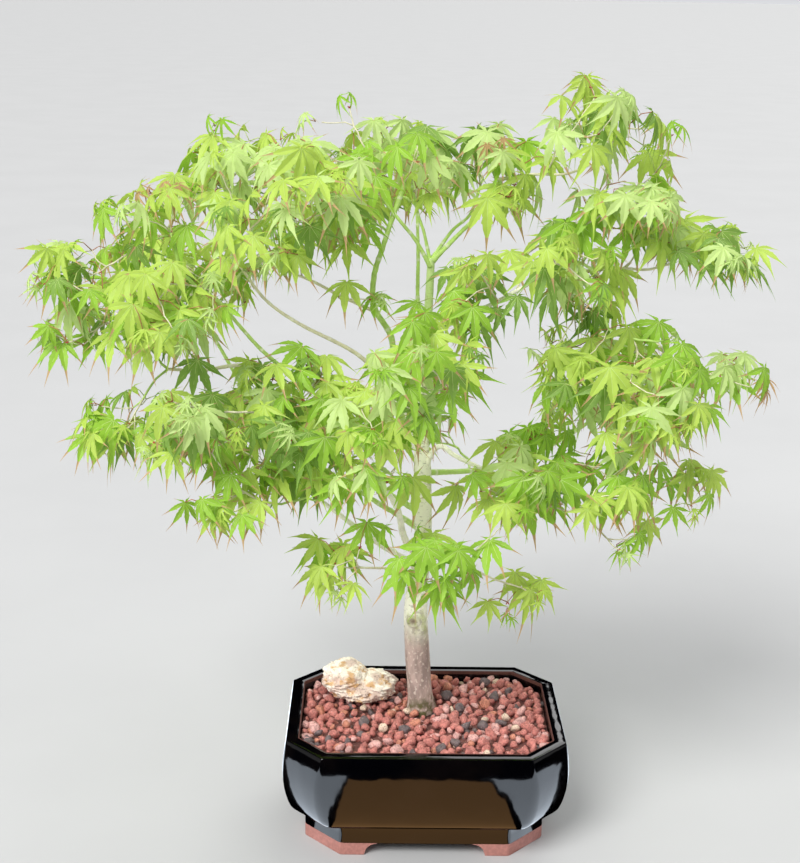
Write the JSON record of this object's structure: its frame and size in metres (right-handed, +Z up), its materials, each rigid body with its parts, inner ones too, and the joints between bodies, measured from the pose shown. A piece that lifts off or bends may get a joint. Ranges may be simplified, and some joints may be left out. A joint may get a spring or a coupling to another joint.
{
  "type": "potted bonsai japanese maple",
  "caption": "Bonsai Japanese maple with a slim pale trunk and broad green crown, growing in a black glazed rectangular pot topped with red lava gravel.",
  "frame": {"origin": "on the surface that the pot stands on, under the middle of the whole plant's box", "axes": "+Z up along the trunk, +X along the pot's long side to the viewer's right, +Y towards the back"},
  "size_m": [0.7822, 0.463, 0.8391],
  "materials": {
    "pot_glaze": "gloss",
    "bare_clay": "matte",
    "lava_gravel": "matte",
    "pale_stone": "matte",
    "trunk_bark": "matte",
    "young_bark": "satin",
    "leaf_lime": "satin",
    "leaf_green": "satin",
    "leaf_pale": "satin",
    "leaf_deep": "satin",
    "leaf_bronze": "satin"
  },
  "bodies": {
    "root": {"pot": "pot_glaze", "soil": "lava_gravel", "stone": "pale_stone", "trunk": "trunk_bark", "bough_left_low": "young_bark", "bough_left_second": "young_bark", "bough_left_main": "young_bark", "bough_left_leader": "young_bark", "bough_left_long": "young_bark", "bough_left_upper": "young_bark", "bough_left_inner": "young_bark", "bough_left_outer": "young_bark", "bough_left_side": "young_bark", "bough_left_back": "young_bark", "bough_low_back": "young_bark", "bough_right_low": "young_bark", "bough_right_middle": "young_bark", "bough_right_far": "young_bark", "bough_right_back": "young_bark", "bough_fork_right": "young_bark", "bough_fork_left": "young_bark", "bough_fork_back": "young_bark", "bough_front": "young_bark", "mass_top_left": "leaf_lime", "mass_top_left_front": "leaf_green", "mass_top_centre": "leaf_pale", "mass_top_right_inner": "leaf_deep", "mass_top_back": "leaf_lime", "mass_left_high": "leaf_green", "mass_left_far_high": "leaf_pale", "mass_left_far_low": "leaf_deep", "mass_left_middle": "leaf_lime", "mass_left_inner": "leaf_green", "mass_left_gap": "leaf_pale", "mass_left_back": "leaf_deep", "mass_left_low_far": "leaf_lime", "mass_left_low_middle": "leaf_green", "mass_left_low_tips": "leaf_pale", "mass_left_low_inner": "leaf_deep", "mass_left_low_back": "leaf_lime", "mass_centre_left": "leaf_green", "mass_centre_front": "leaf_pale", "mass_centre_high": "leaf_deep", "mass_centre_back": "leaf_lime", "mass_low_left": "leaf_green", "mass_low_front": "leaf_pale", "mass_low_right_tips": "leaf_deep", "mass_low_right": "leaf_lime", "mass_right_top": "leaf_green", "mass_right_top_outer": "leaf_pale", "mass_right_top_low": "leaf_deep", "mass_right_high": "leaf_lime", "mass_right_far_high": "leaf_green", "mass_right_inner": "leaf_pale", "mass_right_large": "leaf_deep", "mass_right_far": "leaf_lime", "mass_right_low": "leaf_green", "mass_right_low_outer": "leaf_pale", "mass_right_low_tips": "leaf_deep", "mass_right_back": "leaf_lime"}
  },
  "joints": []
}
